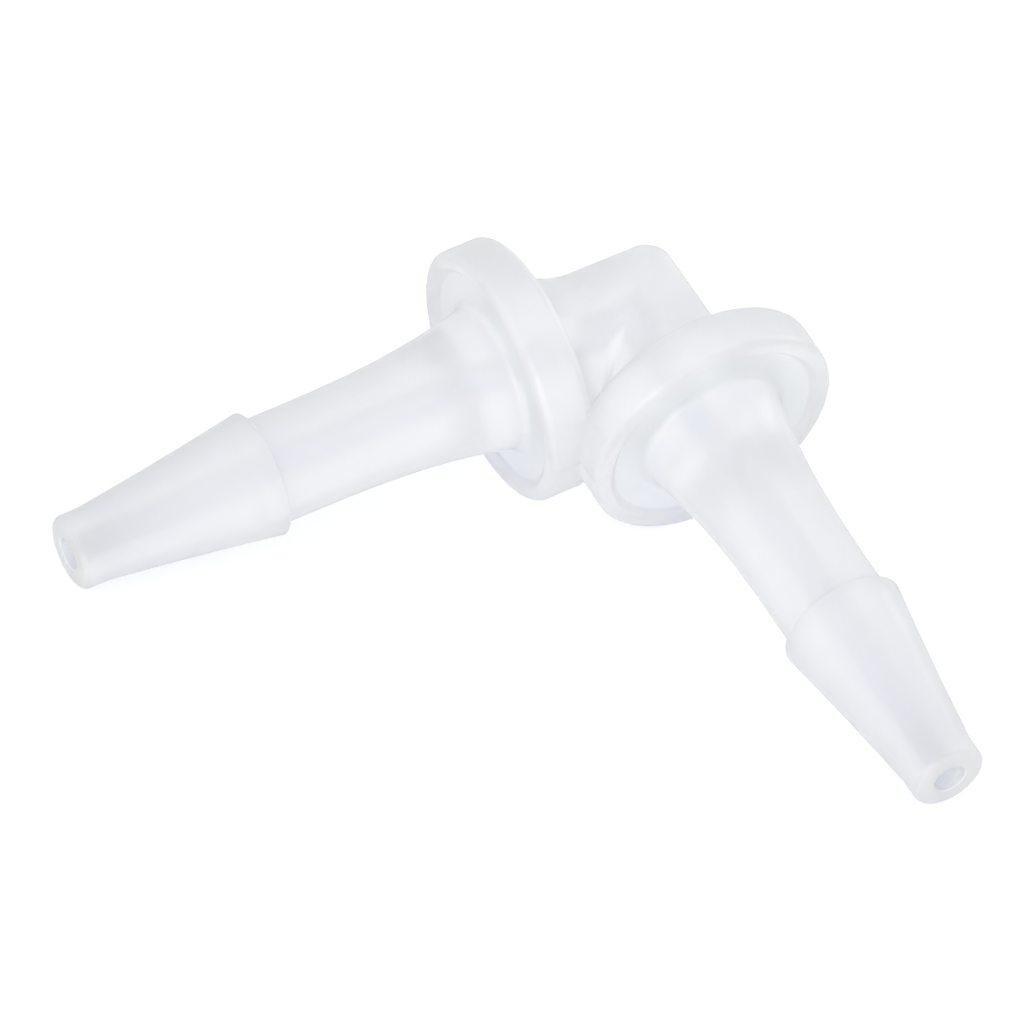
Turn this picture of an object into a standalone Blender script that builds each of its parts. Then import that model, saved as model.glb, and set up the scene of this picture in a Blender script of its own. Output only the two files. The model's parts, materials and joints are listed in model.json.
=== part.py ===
"""Elbow hose connector: two equal barbed arms at a right angle, moulded in one piece.

Units are metres and +Z is up. One arm is lofted as rings around its axis, from the mitre plane
between the arms out to its tip and back down its bore, and a mirror makes the other arm.
The part lies as it comes to rest: on the rims of its two flanges and on its two tips.
"""
import math

import bmesh
import bpy
from mathutils import Matrix, Vector

# Elbow: a station is a distance from the corner, where the two axes meet, along an arm's axis
ELBOW_ANGLE = math.radians(90.0)
CORNER_RADIUS_OF_BODY = 0.00204
WAIST_RADIUS_OF_BODY = 0.00207
WAIST_STATION = 0.00140
ROOT_RADIUS_OF_BODY = 0.00296
WAIST_TO_CORNER_POWER = 1.5
WAIST_TO_FLANGE_POWER = 2.0
OUTER_CORNER_ROUNDING = 0.00085
INNER_CORNER_ROUNDING = 0.00020

# Flange: a thick disc with rounded edges, and on the hose side a shallow recess inside a raised lip
FLANGE_STATION = 0.00357
FLANGE_DIAMETER = 0.00850
FLANGE_THICKNESS = 0.00174
FLANGE_BACK_EDGE_RADIUS = 0.00040
FLANGE_FRONT_EDGE_RADIUS = 0.00030
LIP_WIDTH = 0.00062
LIP_SLOPE_WIDTH = 0.00024
RECESS_DEPTH = 0.00020

# Neck: flares out of the recess and narrows towards the barb
NECK_ROOT_RADIUS = 0.00244
NECK_RADIUS = 0.00176
NECK_FLARE_LENGTH = 0.00760
NECK_FLARE_POWER = 2.85
NECK_FILLET_RADIUS = 0.00034
NECK_FILLET_TURN = math.radians(75.0)

# Barb, cone and nose
BARB_DISTANCE = 0.00805
BARB_RADIUS = 0.00206
BARB_STEP_LENGTH = 0.00006
BARB_EDGE_RADIUS = 0.00007
CONE_LENGTH = 0.00586
CONE_HOLLOW = 0.00003
NOSE_RADIUS = 0.00124
NOSE_LENGTH = 0.00091
NOSE_EDGE_RADIUS = 0.00024

# Bore: its core pin is drawn out of each tip, so it narrows towards the corner behind a bevelled mouth
BORE_MOUTH_DIAMETER = 0.00118
BORE_MOUTH_DEPTH = 0.00014
BORE_DIAMETER_AT_TIP = 0.00090
BORE_DIAMETER_AT_CORNER = 0.00084

# Material: natural, unpigmented polypropylene
POLYPROPYLENE_COLOUR = (0.80, 0.82, 0.86, 1.0)
POLYPROPYLENE_ROUGHNESS = 0.35

# Facets: points around each ring, and where the rings lie along a form, as shares of its length
RING_POINTS = 44
CORNER_STEPS = 5
BODY_STEPS = 6
ROUND_SECTION_SHARE = 0.3
FLARE_SHARES = (0.4, 0.75)
RIM_STEPS = 4
LIP_STEPS = 5
FILLET_STEPS = 3
NECK_SHARES = (0.08, 0.18, 0.30, 0.45, 0.64, 1.0)
BARB_STEPS = 3
CONE_SHARES = (0.2, 0.4, 0.6, 0.8, 1.0)
NOSE_STEPS = 4
BORE_SHARES = (0.0, 0.25, 0.5, 0.75)
TURN_ROUNDS = 12
SHARP_ANGLE = math.radians(32.0)
MERGE_DISTANCE = 0.0000005

# What follows from the sizes above
QUARTER = math.pi / 2
HALF_ANGLE = ELBOW_ANGLE / 2
FLANGE_RADIUS = FLANGE_DIAMETER / 2
FRONT_STATION = FLANGE_STATION + FLANGE_THICKNESS
FLOOR_STATION = FRONT_STATION - RECESS_DEPTH
LIP_INNER_RADIUS = FLANGE_RADIUS - LIP_WIDTH
BARB_STATION = FRONT_STATION + BARB_DISTANCE
CONE_STATION = BARB_STATION + BARB_STEP_LENGTH + BARB_EDGE_RADIUS
NOSE_STATION = CONE_STATION + CONE_LENGTH
TIP_STATION = NOSE_STATION + NOSE_LENGTH

ALONG = Vector((math.sin(HALF_ANGLE), -math.cos(HALF_ANGLE), 0.0))
ACROSS = Vector((math.cos(HALF_ANGLE), math.sin(HALF_ANGLE), 0.0))
UP = Vector((0.0, 0.0, 1.0))


def clear_scene():
    """Remove every object that the file starts with."""
    for obj in list(bpy.data.objects):
        bpy.data.objects.remove(obj, do_unlink=True)


def angles():
    """Angles around an arm's axis: 0 is the outer side of the elbow, a half turn its inner side."""
    return [2 * math.pi * index / RING_POINTS for index in range(RING_POINTS)]


def ring(station, radius):
    """A round section of the arm."""
    return [ALONG * station + ACROSS * (radius * math.cos(a)) + UP * (radius * math.sin(a)) for a in angles()]


def mix(start, end, share):
    return start + (end - start) * share


def arc(centre_station, centre_radius, size, start, end, steps):
    """Stations and radii along an arc of the profile: angle 0 is outwards, a quarter turn towards the tip."""
    points = []
    for step in range(steps + 1):
        turn = mix(start, end, step / steps)
        points.append((centre_station + size * math.sin(turn), centre_radius + size * math.cos(turn)))
    return points


def body_radius(station):
    """Radius of the body between corner and flange: a waist that flares into the flange's back."""
    if station < WAIST_STATION:
        share = (WAIST_STATION - station) / (WAIST_STATION + CORNER_RADIUS_OF_BODY)
        return mix(WAIST_RADIUS_OF_BODY, CORNER_RADIUS_OF_BODY, min(share, 1.0) ** WAIST_TO_CORNER_POWER)
    share = (station - WAIST_STATION) / (FLANGE_STATION - WAIST_STATION)
    return mix(WAIST_RADIUS_OF_BODY, ROOT_RADIUS_OF_BODY, share ** WAIST_TO_FLANGE_POWER)


def neck_radius(station):
    """Radius of the neck: a long flare from the recess floor that runs out into the straight neck."""
    share = min((station - FLOOR_STATION) / NECK_FLARE_LENGTH, 1.0)
    return mix(NECK_ROOT_RADIUS, NECK_RADIUS, 1 - (1 - share) ** NECK_FLARE_POWER)


def cone_radius(station):
    """Radius of the barb's cone, a little hollow between barb and nose."""
    share = (station - CONE_STATION) / CONE_LENGTH
    return mix(BARB_RADIUS, NOSE_RADIUS, share) - CONE_HOLLOW * math.sin(math.pi * share)


def turn_start(angle):
    """Where the line at this angle leaves the arm to round the corner: station, radius, rounding."""
    inward = (1 - math.cos(angle)) / 2
    rounding = mix(OUTER_CORNER_ROUNDING, INNER_CORNER_ROUNDING, inward)
    station = 0.0
    for _ in range(TURN_ROUNDS):
        offset = body_radius(station) * math.cos(angle)
        station = (rounding - offset) / math.tan(HALF_ANGLE)
    return station, body_radius(station), rounding


def corner_ring(share):
    """A section of the rounded corner: share 0 is the mitre plane, 1 is where the arm begins."""
    points = []
    for angle in angles():
        station, radius, rounding = turn_start(angle)
        offset = radius * math.cos(angle)
        centre = ALONG * station + ACROSS * (offset - rounding)
        direction = mix(QUARTER, HALF_ANGLE, share)
        outwards = Vector((math.cos(direction), math.sin(direction), 0.0))
        points.append(centre + outwards * rounding + UP * (radius * math.sin(angle)))
    return points


def body_ring(share, end_station):
    """A section of the body between the rounded corner and a round section near the flange."""
    points = []
    for angle in angles():
        station = mix(turn_start(angle)[0], end_station, share)
        radius = body_radius(station)
        points.append(ALONG * station + ACROSS * (radius * math.cos(angle)) + UP * (radius * math.sin(angle)))
    return points


def body_rings():
    """The body's half, from the mitre plane to the back of the flange."""
    round_station = mix(turn_start(math.pi)[0], FLANGE_STATION, ROUND_SECTION_SHARE)
    rings = [corner_ring(step / CORNER_STEPS) for step in range(CORNER_STEPS + 1)]
    rings += [body_ring(step / BODY_STEPS, round_station) for step in range(1, BODY_STEPS + 1)]
    for share in FLARE_SHARES:
        station = mix(round_station, FLANGE_STATION, share)
        rings.append(ring(station, body_radius(station)))
    return rings


def flange_profile():
    """Back face, rim, raised lip and the soft slope from the lip down to the recess floor."""
    back = FLANGE_BACK_EDGE_RADIUS
    front = FLANGE_FRONT_EDGE_RADIUS
    points = [(FLANGE_STATION, ROOT_RADIUS_OF_BODY)]
    points += arc(FLANGE_STATION + back, FLANGE_RADIUS - back, back, -QUARTER, 0, RIM_STEPS)
    points += arc(FRONT_STATION - front, FLANGE_RADIUS - front, front, 0, QUARTER, RIM_STEPS)
    for step in range(LIP_STEPS + 1):
        share = step / LIP_STEPS
        fall = (1 - math.cos(math.pi * share)) / 2
        radius = LIP_INNER_RADIUS + LIP_SLOPE_WIDTH * (0.5 - share)
        points.append((FRONT_STATION - RECESS_DEPTH * fall, radius))
    return points


def neck_profile():
    """The neck from its fillet on the recess floor to the foot of the barb's step."""
    fillet = NECK_FILLET_RADIUS
    turn = NECK_FILLET_TURN
    fillet_end = FLOOR_STATION + fillet * (1 - math.cos(turn))
    centre_radius = neck_radius(fillet_end) + fillet * math.sin(turn)
    points = arc(FLOOR_STATION + fillet, centre_radius, fillet, -QUARTER, -QUARTER - turn, FILLET_STEPS)
    for share in NECK_SHARES:
        station = mix(fillet_end, FLOOR_STATION + NECK_FLARE_LENGTH, share)
        points.append((station, neck_radius(station)))
    points.append((BARB_STATION, NECK_RADIUS))
    return points


def barb_profile():
    """The barb's steep step and rounded edge, the cone and the nose."""
    edge = BARB_EDGE_RADIUS
    step_station = BARB_STATION + BARB_STEP_LENGTH
    points = arc(step_station + edge, BARB_RADIUS - edge, edge, -QUARTER, 0, BARB_STEPS)
    for share in CONE_SHARES:
        station = mix(CONE_STATION, NOSE_STATION, share)
        points.append((station, cone_radius(station)))
    nose = NOSE_EDGE_RADIUS
    points += arc(TIP_STATION - nose, NOSE_RADIUS - nose, nose, 0, QUARTER, NOSE_STEPS)
    return points


def bore_rings():
    """The bore's bevelled mouth, and its wall from there back to the mitre plane."""
    rings = [ring(TIP_STATION, BORE_MOUTH_DIAMETER / 2)]
    for share in BORE_SHARES:
        radius = mix(BORE_DIAMETER_AT_TIP, BORE_DIAMETER_AT_CORNER, share) / 2
        rings.append(ring((TIP_STATION - BORE_MOUTH_DEPTH) * (1 - share), radius))
    radius = BORE_DIAMETER_AT_CORNER / 2
    mitre = []
    for angle in angles():
        offset = radius * math.cos(angle)
        station = -offset / math.tan(HALF_ANGLE)
        mitre.append(ALONG * station + ACROSS * offset + UP * (radius * math.sin(angle)))
    rings.append(mitre)
    return rings


def skin(mesh, rings):
    """Join each ring to the next with faces that look away from the material."""
    loops = [[mesh.verts.new(point) for point in points] for points in rings]
    for near, far in zip(loops, loops[1:]):
        for index in range(RING_POINTS):
            after = (index + 1) % RING_POINTS
            mesh.faces.new((near[index], near[after], far[after], far[index]))


def arm_mesh():
    """One arm with its half of the body, cut where its flange would cross the mitre plane."""
    profile = flange_profile() + neck_profile() + barb_profile()
    rings = body_rings() + [ring(station, radius) for station, radius in profile] + bore_rings()
    mesh = bmesh.new()
    skin(mesh, rings)
    everything = mesh.verts[:] + mesh.edges[:] + mesh.faces[:]
    bmesh.ops.bisect_plane(
        mesh,
        geom=everything,
        dist=MERGE_DISTANCE,
        plane_co=(0.0, 0.0, 0.0),
        plane_no=(-1.0, 0.0, 0.0),
        clear_outer=True,
        use_snap_center=True,
    )
    bmesh.ops.triangulate(mesh, faces=mesh.faces[:])
    data = bpy.data.meshes.new("elbow_connector")
    mesh.to_mesh(data)
    mesh.free()
    data.shade_smooth()
    data.set_sharp_from_angle(angle=SHARP_ANGLE)
    return data


def rest_tilt():
    """How far the arms slope down when flange rims and tips touch the same floor."""
    rim = (FRONT_STATION - FLANGE_FRONT_EDGE_RADIUS, FLANGE_RADIUS - FLANGE_FRONT_EDGE_RADIUS)
    tip = (TIP_STATION - NOSE_EDGE_RADIUS, NOSE_RADIUS - NOSE_EDGE_RADIUS)
    run = tip[0] - rim[0]
    drop = rim[1] - tip[1]
    slope = math.atan2(drop, run)
    slope -= math.asin((NOSE_EDGE_RADIUS - FLANGE_FRONT_EDGE_RADIUS) / math.hypot(run, drop))
    return math.asin(math.sin(slope) / math.cos(HALF_ANGLE))


def polypropylene():
    """Milky, cool white and half gloss."""
    material = bpy.data.materials.new("natural_polypropylene")
    material.use_nodes = True
    shader = material.node_tree.nodes["Principled BSDF"]
    shader.inputs["Base Color"].default_value = POLYPROPYLENE_COLOUR
    shader.inputs["Metallic"].default_value = 0.0
    shader.inputs["Roughness"].default_value = POLYPROPYLENE_ROUGHNESS
    return material


def elbow_connector():
    """The whole connector, laid down as it rests and centred over the origin."""
    data = arm_mesh()
    data.materials.append(polypropylene())
    connector = bpy.data.objects.new("elbow_connector", data)
    bpy.context.collection.objects.link(connector)
    mirror = connector.modifiers.new("other_arm", "MIRROR")
    mirror.use_axis = (True, False, False)
    mirror.use_mirror_merge = True
    mirror.merge_threshold = MERGE_DISTANCE
    tilt = Matrix.Rotation(rest_tilt(), 4, "X")
    corners = [tilt @ vertex.co for vertex in data.vertices]
    middle = (min(c.y for c in corners) + max(c.y for c in corners)) / 2
    lowest = min(c.z for c in corners)
    connector.matrix_world = Matrix.Translation((0.0, -middle, -lowest)) @ tilt
    return connector


clear_scene()
elbow_connector()
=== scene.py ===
"""Looks for the elbow hose connector: a fine moulded surface in milky, natural polypropylene."""
import json
import math

import bmesh
import bpy
from mathutils import Matrix, Vector


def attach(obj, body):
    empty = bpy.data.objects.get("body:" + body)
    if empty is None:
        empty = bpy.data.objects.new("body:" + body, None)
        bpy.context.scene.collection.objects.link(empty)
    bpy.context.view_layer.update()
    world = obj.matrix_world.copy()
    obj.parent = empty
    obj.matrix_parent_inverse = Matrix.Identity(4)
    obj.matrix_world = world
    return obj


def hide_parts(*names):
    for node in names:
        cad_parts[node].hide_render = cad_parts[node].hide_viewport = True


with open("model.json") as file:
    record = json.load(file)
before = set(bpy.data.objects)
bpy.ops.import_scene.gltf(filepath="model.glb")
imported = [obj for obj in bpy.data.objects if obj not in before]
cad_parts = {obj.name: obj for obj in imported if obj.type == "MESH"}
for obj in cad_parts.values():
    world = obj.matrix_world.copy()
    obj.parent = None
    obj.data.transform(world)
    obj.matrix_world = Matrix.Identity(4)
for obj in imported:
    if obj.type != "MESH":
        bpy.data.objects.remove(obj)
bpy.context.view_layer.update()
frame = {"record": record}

# Metres and degrees: a station is a distance from the corner, where the axes meet, along an arm's axis
CORNER_RADIUS_OF_BODY = 0.00204
WAIST_RADIUS_OF_BODY = 0.00207
WAIST_STATION = 0.00140
WAIST_POWER = 1.5
ROOT_RADIUS_OF_BODY = 0.00296
ROOT_FLARE_POWER = 2
OUTER_CORNER_ROUNDING = 0.00085
INNER_CORNER_ROUNDING = 0.00020
FLANGE_STATION = 0.00357
FLANGE_RADIUS = 0.00425
FLANGE_THICKNESS = 0.00174
FLANGE_BACK_EDGE_RADIUS = 0.00040
FLANGE_FRONT_EDGE_RADIUS = 0.00030
LIP_WIDTH = 0.00062
LIP_SLOPE_WIDTH = 0.00034
RECESS_DEPTH = 0.00020
NECK_ROOT_RADIUS = 0.00244
NECK_RADIUS = 0.00176
NECK_FLARE_LENGTH = 0.00760
NECK_FLARE_POWER = 2.85
NECK_FILLET_RADIUS = 0.00034
NECK_FILLET_TURN = 75.0
BARB_DISTANCE = 0.00805
BARB_RADIUS = 0.00206
BARB_STEP_LENGTH = 0.00006
BARB_EDGE_RADIUS = 0.00007
CONE_LENGTH = 0.00586
CONE_HOLLOW = 0.00003
NOSE_RADIUS = 0.00124
NOSE_LENGTH = 0.00091
NOSE_EDGE_RADIUS = 0.00024
BORE_MOUTH_RADIUS = 0.00059
BORE_MOUTH_DEPTH = 0.00014
BORE_RADIUS_AT_TIP = 0.00045
BORE_RADIUS_AT_CORNER = 0.00042
TIP_MOUNT_RADIUS = 0.000795

# Fine surface: how many sections and points, and the mould seams
RING_POINTS = 120
CORNER_STEPS = 10
TURN_TRIES = 12
STRAIGHT_START = 0.3
BODY_STEPS = 14
STRAIGHT_SHARES = (0.2, 0.4, 0.6, 0.8)
EDGE_STEPS = 10
LIP_STEPS = 16
FILLET_STEPS = 8
NECK_STEPS = 20
NECK_STEP_POWER = 1.3
BARB_EDGE_STEPS = 6
CONE_STEPS = 16
BORE_STEPS = 12
BORE_MARGIN = 1.05
BORE_MOUTH_FADE = 0.0045
SEAM_HEIGHT = 0.000026
SEAM_HALF_WIDTH = 0.00006
SEAM_WIDEST = 3.0
SEAM_OFFSETS = (-2.2, -1.0, 0.0, 1.0, 2.2)
SEAM_HEIGHTS = (0.0, 0.0, SEAM_HEIGHT, 0.0, 0.0)
SEAM_SHARE_ON_ARM = 0.35
MERGE_DISTANCE = 0.0000005
SMOOTH_ANGLE = 40.0

FRONT_STATION = FLANGE_STATION + FLANGE_THICKNESS
FLOOR_STATION = FRONT_STATION - RECESS_DEPTH
LIP_INNER_RADIUS = FLANGE_RADIUS - LIP_WIDTH
BARB_STATION = FRONT_STATION + BARB_DISTANCE
CONE_STATION = BARB_STATION + BARB_STEP_LENGTH + BARB_EDGE_RADIUS
NOSE_STATION = CONE_STATION + CONE_LENGTH
TIP_STATION = NOSE_STATION + NOSE_LENGTH

HALF_ANGLE = math.radians(45.0)
ALONG = Vector((math.sin(HALF_ANGLE), -math.cos(HALF_ANGLE), 0.0))
ACROSS = Vector((math.cos(HALF_ANGLE), math.sin(HALF_ANGLE), 0.0))
UP = Vector((0.0, 0.0, 1.0))


def mix(start, end, share):
    return start + (end - start) * share


def arm_frame():
    """Where the arms' own frame lies in the part: read from the mounts on the two tips."""
    mounts = {mount["name"]: mount for mount in frame["record"]["mounts"]}
    right = Vector(mounts["tip_face_right"]["axis"]).normalized()
    left = Vector(mounts["tip_face_left"]["axis"]).normalized()
    up = left.cross(right).normalized()
    forward = -(left + right).normalized()
    side = forward.cross(up).normalized()
    tips = Vector(mounts["tip_face_right"]["pos_m"]) + Vector(mounts["tip_face_left"]["pos_m"])
    corner = (tips - (right + left) * TIP_STATION) / 2 - up * TIP_MOUNT_RADIUS
    place = Matrix((side, forward, up)).transposed().to_4x4()
    place.translation = corner
    return place


def ring_angles(radius):
    """Angles around the axis, closer together at the two mould seams, with the height of the seam there."""
    step = min(SEAM_HALF_WIDTH / radius, math.radians(SEAM_WIDEST))
    plain = RING_POINTS // 2 - len(SEAM_OFFSETS)
    angles = []
    for side in (0.0, math.pi):
        angles += [(side + offset * step, height) for offset, height in zip(SEAM_OFFSETS, SEAM_HEIGHTS)]
        start = side + SEAM_OFFSETS[-1] * step
        end = side + math.pi + SEAM_OFFSETS[0] * step
        angles += [(mix(start, end, (index + 1) / (plain + 1)), 0.0) for index in range(plain)]
    return angles


def ring(station, radius, seam=1.0):
    """A round section of the arm."""
    points = []
    for angle, height in ring_angles(radius):
        size = radius + height * seam
        points.append(ALONG * station + ACROSS * (size * math.cos(angle)) + UP * (size * math.sin(angle)))
    return points


def arc(centre_station, centre_radius, size, start, end, steps):
    """Stations and radii along an arc of the profile; 0 degrees is outwards, 90 towards the tip."""
    points = []
    for step in range(steps + 1):
        turn = math.radians(mix(start, end, step / steps))
        points.append((centre_station + size * math.sin(turn), centre_radius + size * math.cos(turn)))
    return points


def body_radius(station):
    """Radius of the body between corner and flange: a waist that flares into the flange's back."""
    if station < WAIST_STATION:
        share = (WAIST_STATION - station) / (WAIST_STATION + CORNER_RADIUS_OF_BODY)
        return mix(WAIST_RADIUS_OF_BODY, CORNER_RADIUS_OF_BODY, min(share, 1.0) ** WAIST_POWER)
    share = (station - WAIST_STATION) / (FLANGE_STATION - WAIST_STATION)
    return mix(WAIST_RADIUS_OF_BODY, ROOT_RADIUS_OF_BODY, share ** ROOT_FLARE_POWER)


def neck_radius(station):
    """Radius of the neck: a long flare from the recess floor that runs out into the straight neck."""
    share = min((station - FLOOR_STATION) / NECK_FLARE_LENGTH, 1.0)
    return mix(NECK_ROOT_RADIUS, NECK_RADIUS, 1 - (1 - share) ** NECK_FLARE_POWER)


def cone_radius(station):
    """Radius of the barb's cone, a little hollow between barb and nose."""
    share = (station - CONE_STATION) / CONE_LENGTH
    return mix(BARB_RADIUS, NOSE_RADIUS, share) - CONE_HOLLOW * math.sin(math.pi * share)


def turn_start(angle):
    """Where the line at this angle leaves the arm to round the corner: station, radius, rounding."""
    inward = (1 - math.cos(angle)) / 2
    rounding = mix(OUTER_CORNER_ROUNDING, INNER_CORNER_ROUNDING, inward)
    station = 0.0
    for _ in range(TURN_TRIES):
        offset = body_radius(station) * math.cos(angle)
        station = (rounding - offset) / math.tan(HALF_ANGLE)
    return station, body_radius(station), rounding


def corner_ring(share):
    """A section of the rounded corner: share 0 is the mitre plane, 1 is where the arm begins."""
    points = []
    for angle, height in ring_angles(CORNER_RADIUS_OF_BODY):
        station, radius, rounding = turn_start(angle)
        radius += height * SEAM_SHARE_ON_ARM
        offset = radius * math.cos(angle)
        centre = ALONG * station + ACROSS * (offset - rounding)
        direction = mix(math.pi / 2, HALF_ANGLE, share)
        outwards = Vector((math.cos(direction), math.sin(direction), 0.0))
        point = centre + outwards * rounding + UP * (radius * math.sin(angle))
        if share == 0.0:
            point.x = 0.0
        points.append(point)
    return points


def body_ring(share, end_station):
    """A section of the body between the rounded corner and a round section near the flange."""
    points = []
    for angle, height in ring_angles(WAIST_RADIUS_OF_BODY):
        station = mix(turn_start(angle)[0], end_station, share)
        radius = body_radius(station) + height * SEAM_SHARE_ON_ARM
        points.append(ALONG * station + ACROSS * (radius * math.cos(angle)) + UP * (radius * math.sin(angle)))
    return points


def body_rings():
    """The body's half, from the mitre plane to the back of the flange."""
    straight_station = mix(turn_start(math.pi)[0], FLANGE_STATION, STRAIGHT_START)
    rings = [corner_ring(step / CORNER_STEPS) for step in range(CORNER_STEPS + 1)]
    rings += [body_ring(step / BODY_STEPS, straight_station) for step in range(1, BODY_STEPS + 1)]
    for share in STRAIGHT_SHARES:
        station = mix(straight_station, FLANGE_STATION, share)
        rings.append(ring(station, body_radius(station), SEAM_SHARE_ON_ARM))
    return rings


def flange_profile():
    """Back face, rim, raised lip and the soft slope from the lip down to the recess floor."""
    back = FLANGE_BACK_EDGE_RADIUS
    front = FLANGE_FRONT_EDGE_RADIUS
    points = [(FLANGE_STATION, ROOT_RADIUS_OF_BODY)]
    points += arc(FLANGE_STATION + back, FLANGE_RADIUS - back, back, -90, 0, EDGE_STEPS)
    points += arc(FRONT_STATION - front, FLANGE_RADIUS - front, front, 0, 90, EDGE_STEPS)
    for step in range(LIP_STEPS + 1):
        share = step / LIP_STEPS
        fall = (1 - math.cos(math.pi * share)) / 2
        radius = LIP_INNER_RADIUS + LIP_SLOPE_WIDTH * (0.5 - share)
        points.append((FRONT_STATION - RECESS_DEPTH * fall, radius))
    return points


def neck_profile():
    """The neck from its fillet on the recess floor to the foot of the barb's step."""
    fillet = NECK_FILLET_RADIUS
    turn = math.radians(NECK_FILLET_TURN)
    fillet_end = FLOOR_STATION + fillet * (1 - math.cos(turn))
    centre_radius = neck_radius(fillet_end) + fillet * math.sin(turn)
    points = arc(FLOOR_STATION + fillet, centre_radius, fillet, -90, -90 - NECK_FILLET_TURN, FILLET_STEPS)
    for step in range(1, NECK_STEPS + 1):
        share = (step / NECK_STEPS) ** NECK_STEP_POWER
        station = mix(fillet_end, FLOOR_STATION + NECK_FLARE_LENGTH, share)
        points.append((station, neck_radius(station)))
    points.append((BARB_STATION, NECK_RADIUS))
    return points


def barb_profile():
    """The barb's steep step and rounded edge, the cone and the nose."""
    edge = BARB_EDGE_RADIUS
    step_station = BARB_STATION + BARB_STEP_LENGTH
    points = arc(step_station + edge, BARB_RADIUS - edge, edge, -90, 0, BARB_EDGE_STEPS)
    for step in range(1, CONE_STEPS + 1):
        station = mix(CONE_STATION, NOSE_STATION, step / CONE_STEPS)
        points.append((station, cone_radius(station)))
    nose = NOSE_EDGE_RADIUS
    points += arc(TIP_STATION - nose, NOSE_RADIUS - nose, nose, 0, 90, EDGE_STEPS)
    return points


def bore_rings():
    """The bore's bevelled mouth, and its wall from there back to the mitre plane."""
    rings = [ring(TIP_STATION, BORE_MOUTH_RADIUS, seam=0.0)]
    for step in range(BORE_STEPS):
        share = step / BORE_STEPS
        radius = mix(BORE_RADIUS_AT_TIP, BORE_RADIUS_AT_CORNER, share)
        rings.append(ring((TIP_STATION - BORE_MOUTH_DEPTH) * (1 - share), radius, seam=0.0))
    radius = BORE_RADIUS_AT_CORNER
    mitre = []
    for angle, _ in ring_angles(radius):
        mitre.append(Vector((0.0, radius * math.cos(angle) / math.sin(HALF_ANGLE), radius * math.sin(angle))))
    rings.append(mitre)
    return rings


def arm_rings():
    """All sections of one arm: over the outside to the tip, and back through the bore."""
    rings = body_rings() + [ring(station, radius) for station, radius in flange_profile()]
    for station, radius in neck_profile() + barb_profile():
        rings.append(ring(station, radius, SEAM_SHARE_ON_ARM))
    return rings + bore_rings()


def skin(mesh, rings):
    """Join each ring to the next with faces that look away from the material."""
    loops = [[mesh.verts.new(point) for point in points] for points in rings]
    for near, far in zip(loops, loops[1:]):
        for index in range(RING_POINTS):
            after = (index + 1) % RING_POINTS
            mesh.faces.new((near[index], near[after], far[after], far[index]))


def cut_at_mitre(mesh):
    """Cut away what reaches past the plane between the arms, on the other arm's side."""
    bmesh.ops.bisect_plane(
        mesh,
        geom=mesh.verts[:] + mesh.edges[:] + mesh.faces[:],
        dist=MERGE_DISTANCE,
        plane_co=(0.0, 0.0, 0.0),
        plane_no=(-1.0, 0.0, 0.0),
        clear_outer=True,
        use_snap_center=True,
    )


def arm_place(point):
    """Station along the arm, and the direction from its axis, for the flow streaks of the material."""
    across = point.dot(ACROSS)
    distance = max(math.hypot(across, point.z), MERGE_DISTANCE)
    return (point.dot(ALONG), across / distance, point.z / distance)


def bore_share(point):
    """1 on the wall of the bore, fading towards its mouth, and 0 on the outer surface."""
    if math.hypot(point.dot(ACROSS), point.z) > BORE_RADIUS_AT_TIP * BORE_MARGIN:
        return 0.0
    return min((TIP_STATION - point.dot(ALONG)) / BORE_MOUTH_FADE, 1.0)


def recess_share(point):
    """1 on the recess floor inside the lip, fading up the lip's slope and the neck's fillet: where the recess
    is painted with shade.
    """
    station = point.dot(ALONG)
    distance = math.hypot(point.dot(ACROSS), point.z)
    around_neck = NECK_ROOT_RADIUS < distance < LIP_INNER_RADIUS + LIP_SLOPE_WIDTH
    if station < FLOOR_STATION - MERGE_DISTANCE or not around_neck:
        return 0.0
    return max(1.0 - (station - FLOOR_STATION) / RECESS_DEPTH, 0.0)


def arm_mesh():
    """One arm and its half of the body as a fine surface, with the places that the material reads."""
    mesh = bmesh.new()
    skin(mesh, arm_rings())
    cut_at_mitre(mesh)
    places = [arm_place(vertex.co) for vertex in mesh.verts]
    in_bore = [bore_share(vertex.co) for vertex in mesh.verts]
    in_recess = [recess_share(vertex.co) for vertex in mesh.verts]
    bmesh.ops.transform(mesh, matrix=arm_frame(), verts=mesh.verts[:])
    data = bpy.data.meshes.new("elbow_moulding")
    mesh.to_mesh(data)
    mesh.free()
    layer = data.attributes.new("arm_place", "FLOAT_VECTOR", "POINT")
    layer.data.foreach_set("vector", [number for place in places for number in place])
    data.attributes.new("in_bore", "FLOAT", "POINT").data.foreach_set("value", in_bore)
    data.attributes.new("in_recess", "FLOAT", "POINT").data.foreach_set("value", in_recess)
    data.shade_smooth()
    data.set_sharp_from_angle(angle=math.radians(SMOOTH_ANGLE))
    return data


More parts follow.
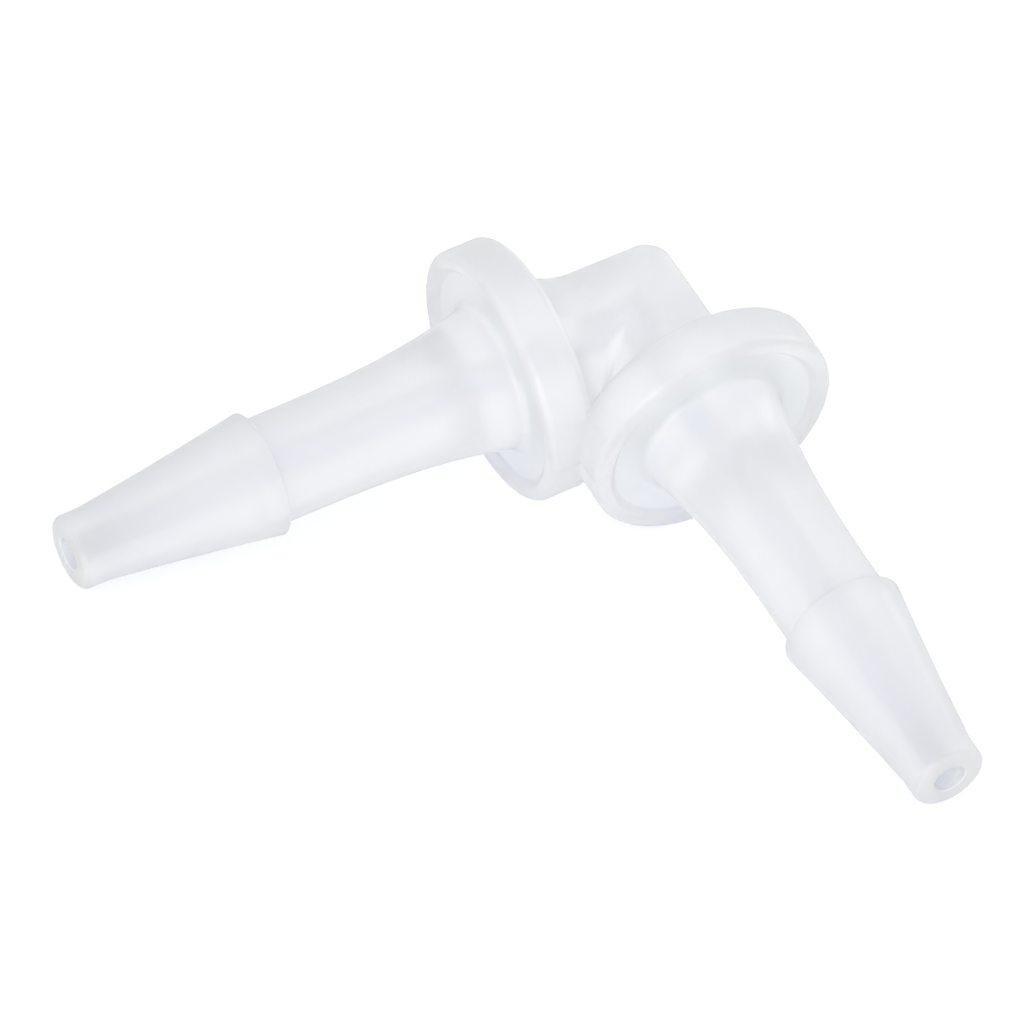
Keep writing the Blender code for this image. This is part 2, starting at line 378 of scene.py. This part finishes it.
class Nodes:
    """Short ways to add the nodes of one material or world."""

    def __init__(self, tree):
        self.tree = tree

    def add(self, kind, **settings):
        node = self.tree.nodes.new(kind)
        for name, value in settings.items():
            setattr(node, name, value)
        return node

    def feed(self, socket, value):
        if isinstance(value, bpy.types.NodeSocket):
            self.tree.links.new(value, socket)
        else:
            socket.default_value = value

    def attribute(self, name, output):
        return self.add("ShaderNodeAttribute", attribute_name=name).outputs[output]

    def first_part(self, vector):
        node = self.add("ShaderNodeSeparateXYZ")
        self.feed(node.inputs[0], vector)
        return node.outputs["X"]

    def math(self, operation, *values):
        node = self.add("ShaderNodeMath", operation=operation)
        for socket, value in zip(node.inputs, values):
            self.feed(socket, value)
        return node.outputs[0]

    def vector(self, operation, *values):
        node = self.add("ShaderNodeVectorMath", operation=operation)
        for socket, value in zip(node.inputs, values):
            self.feed(socket, value)
        return node.outputs["Value" if operation in ("DOT_PRODUCT", "DISTANCE") else "Vector"]

    def spread(self, value, low, high, to_low, to_high):
        node = self.add("ShaderNodeMapRange", interpolation_type="SMOOTHSTEP")
        for name, number in (("From Min", low), ("From Max", high), ("To Min", to_low), ("To Max", to_high)):
            node.inputs[name].default_value = number
        self.feed(node.inputs["Value"], value)
        return node.outputs["Result"]

    def noise(self, vector, scale, detail, roughness, distortion):
        node = self.add("ShaderNodeTexNoise")
        self.feed(node.inputs["Vector"], vector)
        node.inputs["Scale"].default_value = scale
        node.inputs["Detail"].default_value = detail
        node.inputs["Roughness"].default_value = roughness
        node.inputs["Distortion"].default_value = distortion
        return node.outputs["Fac"]

    def blend(self, factor, first, second):
        node = self.add("ShaderNodeMix", data_type="RGBA")
        self.feed(node.inputs["Factor"], factor)
        sockets = [socket for socket in node.inputs if socket.type == "RGBA"]
        self.feed(sockets[0], first)
        self.feed(sockets[1], second)
        return [socket for socket in node.outputs if socket.type == "RGBA"][0]


# Polypropylene: a range is where one look turns into another, as two stations or distances in metres
CLEAR_COLOUR = (0.888, 0.909, 0.982, 1.0)
MILKY_COLOUR = (0.954, 0.958, 1.0, 1.0)
# Painted light: a paler colour for the tips' end faces and the elbow's inner crease
PAINTED_LIGHT_COLOUR = (0.990, 0.991, 1.0, 1.0)
# Painted shade: a darker band arching over the body
PAINTED_ARCH_SHADE_COLOUR = (0.860, 0.876, 0.912, 1.0)
# Painted shade: the recess inside the lip, darker and cooler
RECESS_SHADE_COLOUR = (0.870, 0.915, 0.955, 1.0)
# Painted shade: the darkness inside the bore near its mouth
BORE_SHADE_COLOUR = (0.735, 0.755, 0.785, 1.0)
FLOW_ALONG = 110.0
FLOW_ACROSS = 1.7
ARM_SHIFT = 4.7
ARM_SHIFT_RANGE = (-0.004, 0.004)
STREAK_RANGE = (0.0008, 0.0024)
STREAKS_AT_FLANGE = 0.12
STREAKS_ON_ARM = 0.72
MILK_VALUES = (0.36, 0.64)
CONE_RANGE = (BARB_STATION - 0.0003, BARB_STATION + 0.0012)
CONE_MILK = 0.15
END_FACE_RANGE = (TIP_STATION - 0.00012, TIP_STATION - 0.00003)
CREASE_DISTANCE = 0.0029
CREASE_SWAY = 0.0012
CREASE_RANGE = (0.0018, 0.0038)
ARCH_INNER_RANGE = (0.0035, 0.0041)
ARCH_OUTER_RANGE = (0.0044, 0.0053)
ARCH_BODY_RANGE = (0.0026, 0.0034)
ARCH_SHARE = 0.65
RECESS_SHADE_SHARE = 0.7
MOUTH_RANGE = (TIP_STATION - 0.0022, TIP_STATION - 0.0003)
MOUTH_LEAST_BORE = 0.01
GRAIN_VALUES = (0.3, 0.7)
ROUGHNESS_LOW = 0.30
ROUGHNESS_HIGH = 0.36
SKIN_DEPTH = 0.000006
SKIN_STRENGTH = 0.25
REFRACTIVE_INDEX = 1.49
SEE_THROUGH = 0.32
CREASE_SEE_THROUGH = 0.3
BORE_SEE_THROUGH = 0.9
COAT = 0.2
COAT_ROUGHNESS = 0.14
SCATTER_LENGTH = 0.0025
SCATTER_SHARES = (1.0, 1.0, 1.0)

# Noises: scale, detail, roughness and distortion
FLOW_NOISE = (1.0, 3.0, 0.55, 0.35)
CLOUD_NOISE = (420.0, 3.0, 0.5, 0.6)
GRAIN_NOISE = (2600.0, 2.0, 0.5, 0.0)
SKIN_NOISE = (5200.0, 3.0, 0.6, 0.0)


def flow_marks_and_painted_streaks(nodes, place, arm):
    """Noise drawn out along the arms, and different on each: partly flow marks of the moulding, partly
    painted streaks of refracted light.
    """
    arm_shift = nodes.spread(nodes.first_part(place), *ARM_SHIFT_RANGE, 0.0, ARM_SHIFT)
    shift = nodes.add("ShaderNodeCombineXYZ")
    nodes.feed(shift.inputs["X"], arm_shift)
    nodes.feed(shift.inputs["Z"], arm_shift)
    stretched = nodes.vector("MULTIPLY", arm, (FLOW_ALONG, FLOW_ACROSS, FLOW_ACROSS))
    return nodes.noise(nodes.vector("ADD", stretched, shift.outputs[0]), *FLOW_NOISE)


def milkiness(nodes, flow, cloud, station):
    """How milky the plastic is: clouds on body and flanges, streaks along the arms that are partly painted
    streaks of refracted light, clearer cones.
    """
    flange_middle = FLANGE_STATION + FLANGE_THICKNESS / 2
    from_flange = nodes.math("ABSOLUTE", nodes.math("SUBTRACT", station, flange_middle))
    streaks = nodes.spread(from_flange, *STREAK_RANGE, STREAKS_AT_FLANGE, STREAKS_ON_ARM)
    extra = nodes.math("MULTIPLY", nodes.math("SUBTRACT", flow, cloud), streaks)
    share = nodes.spread(nodes.math("ADD", cloud, extra), *MILK_VALUES, 0.0, 1.0)
    on_cone = nodes.spread(station, *CONE_RANGE, 1.0, CONE_MILK)
    return nodes.math("MULTIPLY", share, on_cone)


def distance_from_crease(nodes, place, cloud):
    """Distance from the elbow's inner crease, where painted light lifts the shade, made uneven by the clouds.
    """
    crease = tuple(arm_frame() @ Vector((0.0, -CREASE_DISTANCE, 0.0)))
    sway = nodes.math("MULTIPLY", cloud, CREASE_SWAY)
    return nodes.math("ADD", nodes.vector("DISTANCE", place, crease), sway)


def painted_arch_shade(nodes, from_crease, station):
    """How much painted shade there is: a darker band, which arches over the body around its light centre."""
    inner = nodes.spread(from_crease, *ARCH_INNER_RANGE, 0.0, 1.0)
    outer = nodes.spread(from_crease, *ARCH_OUTER_RANGE, 1.0, 0.0)
    on_body = nodes.spread(station, *ARCH_BODY_RANGE, ARCH_SHARE, 0.0)
    return nodes.math("MULTIPLY", nodes.math("MULTIPLY", inner, outer), on_body)


def painted_bore_shade(nodes, station, in_bore):
    """How much painted shade the bore's wall gets: only near its mouth."""
    near_tip = nodes.spread(station, *MOUTH_RANGE, 0.0, 1.0)
    return nodes.math("MULTIPLY", near_tip, nodes.math("GREATER_THAN", in_bore, MOUTH_LEAST_BORE))


def satin_skin(nodes, shader, place):
    """A satin surface with a fine, uneven grain."""
    grain = nodes.noise(place, *GRAIN_NOISE)
    nodes.feed(shader.inputs["Roughness"], nodes.spread(grain, *GRAIN_VALUES, ROUGHNESS_LOW, ROUGHNESS_HIGH))
    bump = nodes.add("ShaderNodeBump")
    bump.inputs["Strength"].default_value = SKIN_STRENGTH
    bump.inputs["Distance"].default_value = SKIN_DEPTH
    nodes.feed(bump.inputs["Height"], nodes.noise(place, *SKIN_NOISE))
    nodes.feed(shader.inputs["Normal"], bump.outputs[0])
    shader.inputs["Coat Weight"].default_value = COAT
    shader.inputs["Coat Roughness"].default_value = COAT_ROUGHNESS


def see_through(nodes, shader, near_crease, in_bore):
    """Light scatters, and part of it passes: more at the crease, most in the bore, all on its way out."""
    inner_side = nodes.add("ShaderNodeNewGeometry").outputs["Backfacing"]
    clear = nodes.math("MAXIMUM", inner_side, nodes.math("MULTIPLY", in_bore, BORE_SEE_THROUGH))
    outside = nodes.math("ADD", nodes.math("MULTIPLY", near_crease, CREASE_SEE_THROUGH), SEE_THROUGH)
    nodes.feed(shader.inputs["Transmission Weight"], nodes.math("MAXIMUM", clear, outside))
    shader.inputs["IOR"].default_value = REFRACTIVE_INDEX
    shader.inputs["Subsurface Weight"].default_value = 1.0
    shader.inputs["Subsurface Scale"].default_value = SCATTER_LENGTH
    shader.inputs["Subsurface Radius"].default_value = SCATTER_SHARES


def polypropylene():
    """Natural polypropylene: milky and cool, with flow streaks along the arms that are partly painted streaks
    of refracted light, clouds and a satin skin; painted shade in the recesses, the bore's mouth and a band
    over the body, and painted light on the inner crease and the tips' end faces.
    """
    material = bpy.data.materials.new("natural_polypropylene")
    material.use_nodes = True
    nodes = Nodes(material.node_tree)
    shader = material.node_tree.nodes["Principled BSDF"]
    place = nodes.add("ShaderNodeTexCoord").outputs["Object"]
    arm = nodes.attribute("arm_place", "Vector")
    in_bore = nodes.attribute("in_bore", "Fac")
    in_recess = nodes.attribute("in_recess", "Fac")
    station = nodes.first_part(arm)
    cloud = nodes.noise(place, *CLOUD_NOISE)
    from_crease = distance_from_crease(nodes, place, cloud)
    near_crease = nodes.spread(from_crease, *CREASE_RANGE, 1.0, 0.0)
    milky = milkiness(nodes, flow_marks_and_painted_streaks(nodes, place, arm), cloud, station)
    end_face = nodes.spread(station, *END_FACE_RANGE, 0.0, 1.0)

    # Clear and milky streaks along the arms: partly flow marks, partly painted streaks of refracted light
    colour = nodes.blend(milky, CLEAR_COLOUR, MILKY_COLOUR)
    # Painted light: the tips' end faces are painted paler, as if more light fell on them
    colour = nodes.blend(end_face, colour, PAINTED_LIGHT_COLOUR)
    # Painted light: the inner crease is painted paler against the shade that falls there between the flanges
    colour = nodes.blend(near_crease, colour, PAINTED_LIGHT_COLOUR)
    # Painted shade: a darker band arching over the body around its lighter centre
    colour = nodes.blend(painted_arch_shade(nodes, from_crease, station), colour, PAINTED_ARCH_SHADE_COLOUR)
    # Painted shade: the recess floor inside the lip is painted darker and cooler
    colour = nodes.blend(nodes.math("MULTIPLY", in_recess, RECESS_SHADE_SHARE), colour, RECESS_SHADE_COLOUR)
    # Painted shade: the bore's wall is painted darker near the mouth, where little light gets in
    colour = nodes.blend(painted_bore_shade(nodes, station, in_bore), colour, BORE_SHADE_COLOUR)
    nodes.feed(shader.inputs["Base Color"], colour)
    satin_skin(nodes, shader, place)
    see_through(nodes, shader, near_crease, in_bore)
    return material


def connector():
    """The fine connector, in the place of the CAD node: one arm, and its mirror image as the other."""
    data = arm_mesh()
    data.materials.append(polypropylene())
    obj = bpy.data.objects.new("elbow_moulding", data)
    bpy.context.collection.objects.link(obj)
    mirror = obj.modifiers.new("other_arm", "MIRROR")
    mirror.use_axis = (True, False, False)
    mirror.use_mirror_merge = True
    mirror.merge_threshold = MERGE_DISTANCE
    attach(obj, "root")
    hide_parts("elbow_connector")


# Stage: the glows and the sky's strengths are shares of white
FLOOR_SIZE = 4.0
FLOOR_COLOUR = (0.99, 0.99, 0.99, 1.0)
FLOOR_GLOW_SEEN = 0.33
FLOOR_GLOW_THROUGH = 0.25
FLOOR_GLOW_MIRRORED = 0.2
WHITE = (1.0, 1.0, 1.0, 1.0)
SKY_FRONT = 0.80
SKY_BACK = 0.62
SKY_BACKWARDS = (0.0, 0.7, 0.7)
SKY_SPREAD = (-0.6, 1.0)

# Lamps: name, width, power in watts, place and the point that they face
LAMPS = (
    ("key", 0.30, 0.02, (-0.15, -0.10, 0.45), (0.0, 0.0, 0.0)),
    ("fill", 0.25, 0.30, (0.30, 0.30, 0.16), (0.0, 0.0, 0.0)),
    ("front", 0.20, 0.45, (0.02, -0.46, 0.09), (0.0, 0.0, 0.004)),
)


def floor_material():
    """Pale and matt: white to the camera, and brighter where it is mirrored or seen through."""
    material = bpy.data.materials.new("floor")
    material.use_nodes = True
    nodes = Nodes(material.node_tree)
    shader = material.node_tree.nodes["Principled BSDF"]
    shader.inputs["Base Color"].default_value = FLOOR_COLOUR
    shader.inputs["Roughness"].default_value = 1.0
    shader.inputs["Specular IOR Level"].default_value = 0.0
    shader.inputs["Emission Color"].default_value = WHITE
    path = nodes.add("ShaderNodeLightPath")
    seen = nodes.math("MULTIPLY", path.outputs["Is Camera Ray"], FLOOR_GLOW_SEEN)
    through = nodes.math("MULTIPLY", path.outputs["Is Transmission Ray"], FLOOR_GLOW_THROUGH)
    mirrored = nodes.math("MULTIPLY", path.outputs["Is Glossy Ray"], FLOOR_GLOW_MIRRORED)
    glow = nodes.math("ADD", nodes.math("ADD", seen, through), mirrored)
    nodes.feed(shader.inputs["Emission Strength"], glow)
    return material


def floor():
    """A plain floor that keeps the object's shadow."""
    mesh = bpy.data.meshes.new("floor")
    half = FLOOR_SIZE / 2
    corners = [(-half, -half, 0), (half, -half, 0), (half, half, 0), (-half, half, 0)]
    mesh.from_pydata(corners, [], [(0, 1, 2, 3)])
    mesh.materials.append(floor_material())
    obj = bpy.data.objects.new("floor", mesh)
    bpy.context.collection.objects.link(obj)


def lamp(name, size, power, place, aim):
    light = bpy.data.lights.new(name, "AREA")
    light.shape = "DISK"
    light.size = size
    light.energy = power
    obj = bpy.data.objects.new(name, light)
    bpy.context.collection.objects.link(obj)
    obj.location = place
    obj.rotation_euler = (Vector(aim) - Vector(place)).to_track_quat("-Z", "Y").to_euler()


def sky():
    """White where it is seen, mirrored or seen through; as a light it is dimmer, most of all from behind."""
    world = bpy.data.worlds.new("studio")
    bpy.context.scene.world = world
    world.use_nodes = True
    nodes = Nodes(world.node_tree)
    background = world.node_tree.nodes["Background"]
    background.inputs["Color"].default_value = WHITE
    direction = nodes.add("ShaderNodeTexCoord").outputs["Generated"]
    backwards = nodes.vector("DOT_PRODUCT", direction, SKY_BACKWARDS)
    light = nodes.spread(backwards, *SKY_SPREAD, SKY_FRONT, SKY_BACK)
    path = nodes.add("ShaderNodeLightPath")
    passed = nodes.math("MAXIMUM", path.outputs["Is Glossy Ray"], path.outputs["Is Transmission Ray"])
    shown = nodes.math("MAXIMUM", path.outputs["Is Camera Ray"], passed)
    nodes.feed(background.inputs["Strength"], nodes.math("MAXIMUM", shown, light))


# Camera: a long lens, so that the view is nearly parallel; the scale is in pixels per metre
LENS = 500.0
SENSOR = 36.0
IMAGE_SIDE = 1024
SCALE = 31514.0
CORNER_PIXEL = (633.7, 317.0)
TO_CAMERA = Vector((0.1425, -0.5767, 0.8044))
PICTURE_UP = Vector((-0.2430, 0.7675, 0.5932))
CLIP_START = 0.01
CLIP_END = 10.0


def camera():
    """The camera at the photograph's angle, from the arms' own frame."""
    place = arm_frame()
    turn = place.to_3x3()
    back = (turn @ TO_CAMERA).normalized()
    up = turn @ PICTURE_UP
    right = up.cross(back).normalized()
    up = back.cross(right).normalized()
    distance = LENS / SENSOR * IMAGE_SIDE / SCALE
    shift_right = (CORNER_PIXEL[0] - IMAGE_SIDE / 2) / SCALE
    shift_down = (CORNER_PIXEL[1] - IMAGE_SIDE / 2) / SCALE
    centre = place.translation - right * shift_right + up * shift_down
    data = bpy.data.cameras.new("camera")
    data.lens = LENS
    data.sensor_width = SENSOR
    data.clip_start = CLIP_START
    data.clip_end = CLIP_END
    obj = bpy.data.objects.new("camera", data)
    bpy.context.collection.objects.link(obj)
    matrix = Matrix((right, up, back)).transposed().to_4x4()
    matrix.translation = centre + back * distance
    obj.matrix_world = matrix
    bpy.context.scene.camera = obj


connector()
floor()
for settings in LAMPS:
    lamp(*settings)
sky()
camera()
bpy.context.scene.view_settings.view_transform = "Standard"
bpy.context.scene.cycles.max_bounces = 40
bpy.context.scene.cycles.diffuse_bounces = 20
bpy.context.scene.cycles.transmission_bounces = 40
bpy.context.scene.cycles.glossy_bounces = 20
